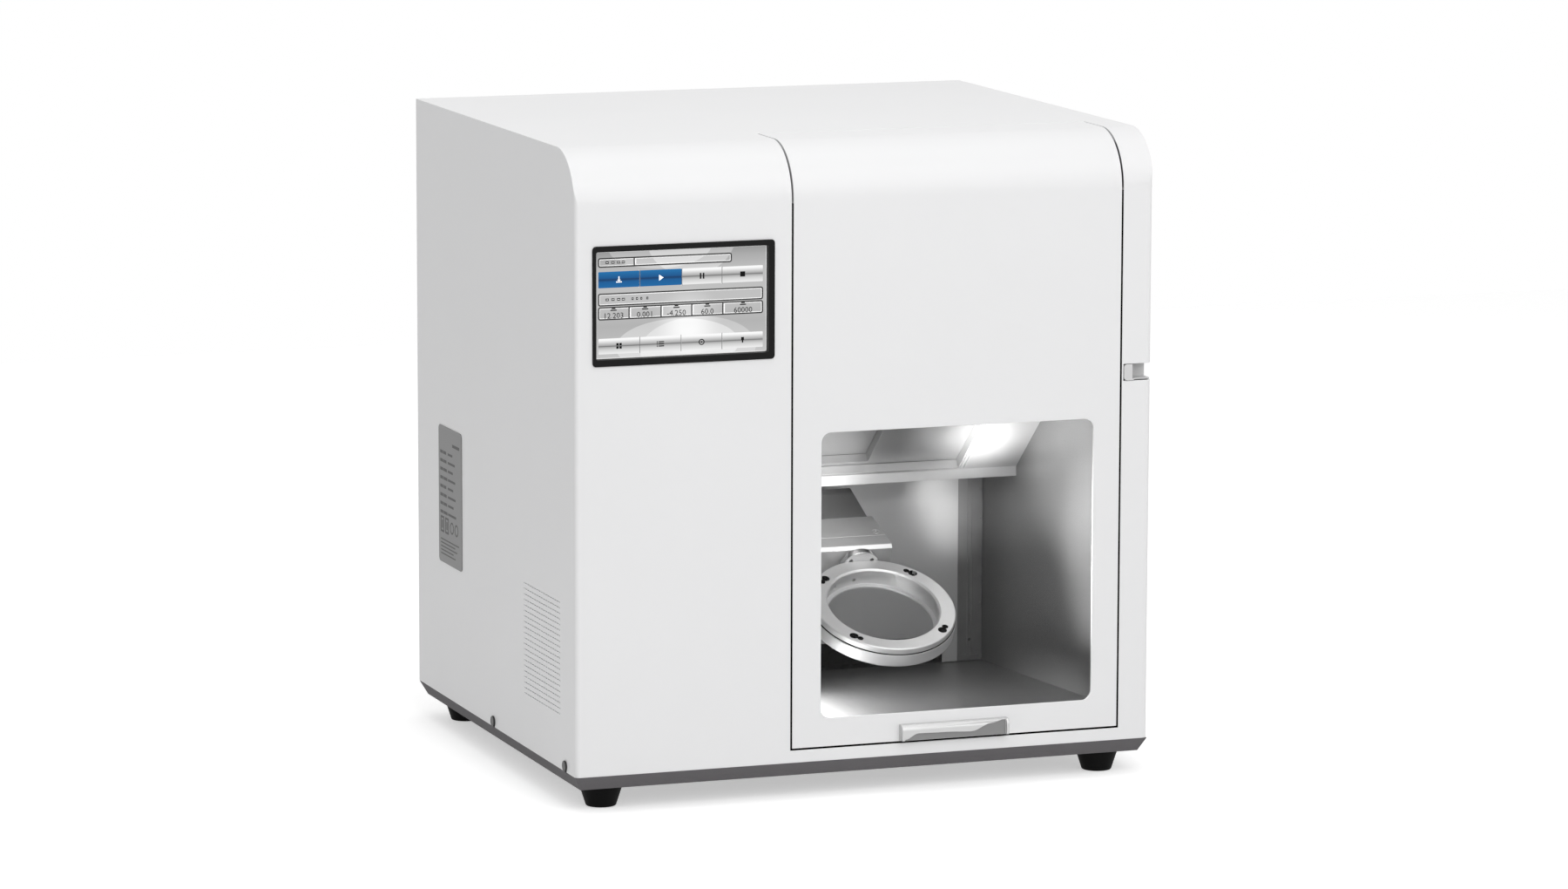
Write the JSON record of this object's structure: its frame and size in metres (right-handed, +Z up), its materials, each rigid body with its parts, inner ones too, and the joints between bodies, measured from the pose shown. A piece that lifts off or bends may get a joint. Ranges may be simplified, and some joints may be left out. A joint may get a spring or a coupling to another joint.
{
  "type": "dental milling machine",
  "caption": "Benchtop dental mill: white wrap-over door with window, touch screen, tilting disc holder, parked spindle",
  "frame": {"origin": "centre of the outline on the surface the machine stands on", "axes": "+Z up, -Y out of the door, +X to the right seen from the front"},
  "size_m": [0.5032, 0.474, 0.537],
  "materials": {
    "white_paint": "fine satin powder coat",
    "grey_paint": "satin",
    "steel": "brushed",
    "dark_steel": "black oxide",
    "aluminium": "anodised",
    "satin_metal": "bead blasted",
    "rubber": "matte",
    "black_plastic": "fine grain",
    "light_plastic": "fine grain",
    "red_plastic": "gloss",
    "grey_plastic": "satin",
    "display": "gloss",
    "plate": "satin",
    "glass": "clear",
    "brass": "turned"
  },
  "bodies": {
    "frame": {"base_pan": "grey_paint", "foot_front_left": "rubber", "foot_front_right": "rubber", "foot_rear_left": "rubber", "foot_rear_right": "rubber", "hood": "white_paint", "hem_screws": "dark_steel", "rear_panel": "white_paint", "screen_bezel": "black_plastic", "touch_screen": "display", "screen_controller": "black_plastic", "rating_plate": "plate", "data_port": "light_plastic", "front_frame": "white_paint", "chamber_floor": "steel", "chamber_left_wall": "steel", "chamber_right_wall": "steel", "chamber_back_panel": "steel", "chamber_back_wall": "steel", "chamber_ceiling": "steel", "hinge_base_left": "dark_steel", "hinge_base_right": "dark_steel", "hinge_pins": "steel", "door_magnet": "black_plastic", "gantry_frame": "aluminium", "x_module": "aluminium", "a_gearbox": "dark_steel", "control_box": "grey_plastic", "power_supply": "aluminium", "dust_plenum": "black_plastic", "dust_spigot": "black_plastic", "power_inlet": "black_plastic", "air_fitting": "brass", "fan_frame": "black_plastic", "fan_guard": "steel"},
    "door": {"door_skin": "white_paint", "window_pane": "glass", "window_gasket": "rubber", "door_handle": "satin_metal", "hinge_leaf_left": "dark_steel", "hinge_leaf_right": "dark_steel"},
    "x_carriage": {"x_carriage": "aluminium", "y_module": "aluminium", "cover_bracket": "steel", "inner_cover_plate": "steel"},
    "middle_cover": {"middle_cover_plate": "steel"},
    "y_carriage": {"y_carriage": "aluminium", "z_module": "aluminium"},
    "z_carriage": {"z_carriage": "aluminium", "spindle_body": "steel"},
    "spindle": {"spindle_rotor": "dark_steel", "milling_tool": "steel"},
    "a_arm": {"swing_arm": "satin_metal", "arm_cover": "aluminium"},
    "b_ring": {"ring_hub": "steel", "disc_holder": "satin_metal", "clamp_ring": "satin_metal", "clamp_screws": "dark_steel"},
    "fan_rotor": {"fan_rotor": "black_plastic"},
    "switch": {"power_switch": "red_plastic"}
  },
  "joints": [
    {"name": "door_hinge", "type": "hinge", "parent": "frame", "child": "door", "pos_m": [0.08, -0.169, 0.525], "axis": [-1, 0, 0], "range_deg": [0, 85]},
    {"name": "x_slide", "type": "slide", "parent": "frame", "child": "x_carriage", "axis": [1, 0, 0], "range_m": [0, 0.144]},
    {"name": "cover_slide", "type": "slide", "parent": "frame", "child": "middle_cover", "axis": [1, 0, 0], "range_m": [0, 0.072]},
    {"name": "y_slide", "type": "slide", "parent": "x_carriage", "child": "y_carriage", "axis": [0, 1, 0], "range_m": [0, 0.085]},
    {"name": "z_slide", "type": "slide", "parent": "y_carriage", "child": "z_carriage", "axis": [0, 0, 1], "range_m": [-0.08, 0]},
    {"name": "spindle_spin", "type": "hinge", "parent": "z_carriage", "child": "spindle", "pos_m": [-0.022, -0.124, 0.33], "axis": [0, 0, 1], "continuous": true},
    {"name": "a_tilt", "type": "hinge", "parent": "frame", "child": "a_arm", "pos_m": [0, -0.075, 0.1196], "axis": [1, 0, 0], "range_deg": [-42.5, 2.5]},
    {"name": "b_rotate", "type": "hinge", "parent": "a_arm", "child": "b_ring", "pos_m": [0.072, -0.02178, 0.1473], "axis": [0, 0.887, 0.4617], "continuous": true},
    {"name": "fan_spin", "type": "hinge", "parent": "frame", "child": "fan_rotor", "pos_m": [-0.17, 0.193, 0.33], "axis": [0, 1, 0], "continuous": true},
    {"name": "power_switch_rock", "type": "hinge", "parent": "frame", "child": "switch", "pos_m": [-0.184, 0.204, 0.102], "axis": [1, 0, 0], "range_deg": [-18, 0]}
  ],
  "couplings": [
    {"joint": "cover_slide", "follows": "x_slide", "ratio": 0.5}
  ]
}
